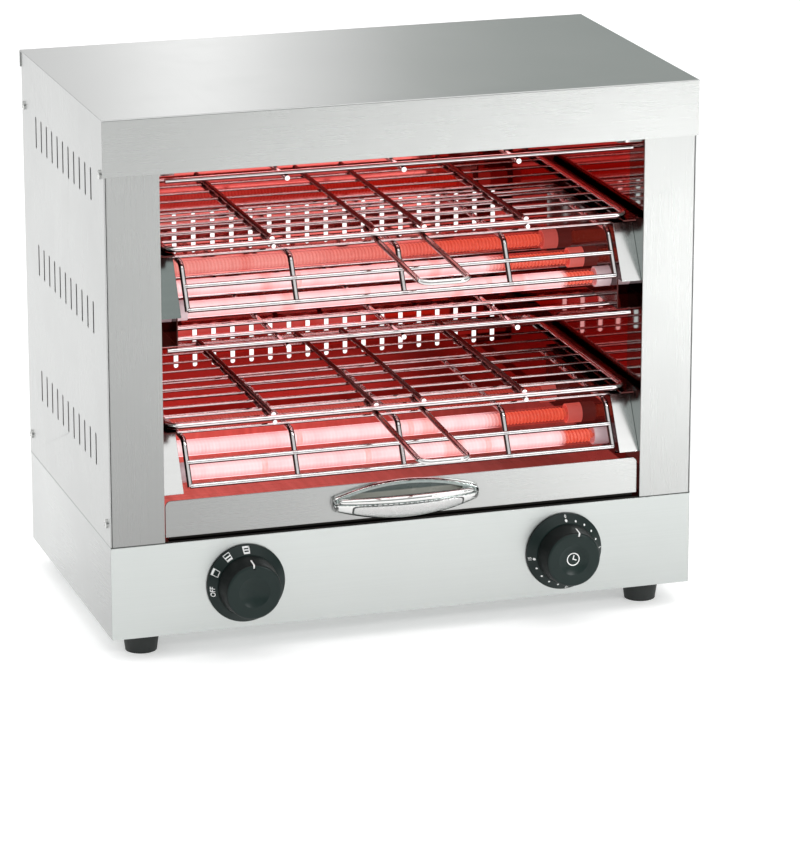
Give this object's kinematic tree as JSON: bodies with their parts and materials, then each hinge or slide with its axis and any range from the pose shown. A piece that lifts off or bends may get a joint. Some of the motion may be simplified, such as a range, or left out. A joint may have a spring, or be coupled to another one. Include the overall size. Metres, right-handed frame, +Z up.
{
  "type": "salamander toaster",
  "caption": "Open-front quartz salamander toaster with slide-out wire racks between banks of glowing tubes, a crumb tray with a cup pull, and rotary dials on the base.",
  "frame": {"origin": "on the floor, under the middle of the whole outline with the rack handles and the cable gland", "axes": "+Z up, +Y towards the back, the open front faces -Y, +X to the right when facing the front"},
  "size_m": [0.444, 0.362, 0.398],
  "materials": {
    "casing_steel": "brushed",
    "polished_steel": "polished",
    "chromed_wire": "bright",
    "bright_metal": "bright",
    "dial_plastic": "satin",
    "black_plastic": "satin",
    "foot_rubber": "matte",
    "quartz": "frosted, glowing when on",
    "heating_wire": "glowing",
    "ceramic": "matte",
    "bus_brass": "plain",
    "lead_silicone": "matte"
  },
  "bodies": {
    "casing": {"top_cover": "casing_steel", "left_side_panel": "casing_steel", "right_side_panel": "casing_steel", "rear_panel": "casing_steel", "left_front_post": "casing_steel", "right_front_post": "casing_steel", "left_inner_wall": "polished_steel", "right_inner_wall": "polished_steel", "reflector": "polished_steel", "deck": "polished_steel", "base_housing": "casing_steel", "base_plate": "casing_steel", "feet": "foot_rubber", "foot_screws": "bright_metal", "foot_nuts": "bright_metal", "casing_screws": "bright_metal", "left_top_bracket": "polished_steel", "right_top_bracket": "polished_steel", "left_middle_bracket": "polished_steel", "right_middle_bracket": "polished_steel", "left_bottom_bracket": "polished_steel", "right_bottom_bracket": "polished_steel", "top_tubes": "quartz", "middle_tubes": "quartz", "bottom_tubes": "quartz", "top_coils": "heating_wire", "middle_coils": "heating_wire", "bottom_coils": "heating_wire", "end_caps": "ceramic", "top_guard": "chromed_wire", "middle_upper_guard": "chromed_wire", "middle_guard_front": "chromed_wire", "middle_lower_guard": "chromed_wire", "bottom_guard": "chromed_wire", "bottom_guard_front": "chromed_wire", "upper_runners": "polished_steel", "lower_runners": "polished_steel", "bus_bars": "bus_brass", "heater_leads": "lead_silicone", "terminal_blocks": "ceramic", "control_leads": "lead_silicone", "cable_gland": "black_plastic", "gland_nut": "black_plastic", "selector_switch": "black_plastic", "timer": "black_plastic", "control_nuts": "bright_metal", "selector_ring": "dial_plastic", "timer_ring": "dial_plastic"},
    "upper_rack": {"upper_rack": "chromed_wire", "upper_rack_handle": "chromed_wire"},
    "lower_rack": {"lower_rack": "chromed_wire", "lower_rack_handle": "chromed_wire"},
    "tray": {"crumb_tray": "polished_steel", "tray_front": "casing_steel", "tray_pull": "bright_metal", "pull_screws": "bright_metal"},
    "selector": {"selector_knob": "dial_plastic", "selector_shaft": "bright_metal"},
    "timer_dial": {"timer_knob": "dial_plastic", "timer_shaft": "bright_metal"}
  },
  "joints": [
    {"name": "upper_rack_slide", "type": "slide", "parent": "casing", "child": "upper_rack", "axis": [0, -1, 0], "range_m": [0, 0.15]},
    {"name": "lower_rack_slide", "type": "slide", "parent": "casing", "child": "lower_rack", "axis": [0, -1, 0], "range_m": [0, 0.15]},
    {"name": "tray_slide", "type": "slide", "parent": "casing", "child": "tray", "axis": [0, -1, 0], "range_m": [0, 0.2]},
    {"name": "selector_turn", "type": "hinge", "parent": "casing", "child": "selector", "pos_m": [-0.121, -0.087, 0.052], "axis": [0, 1, 0], "range_deg": [-96, 0]},
    {"name": "timer_turn", "type": "hinge", "parent": "casing", "child": "timer_dial", "pos_m": [0.121, -0.087, 0.052], "axis": [0, 1, 0], "range_deg": [-12, 252]}
  ]
}
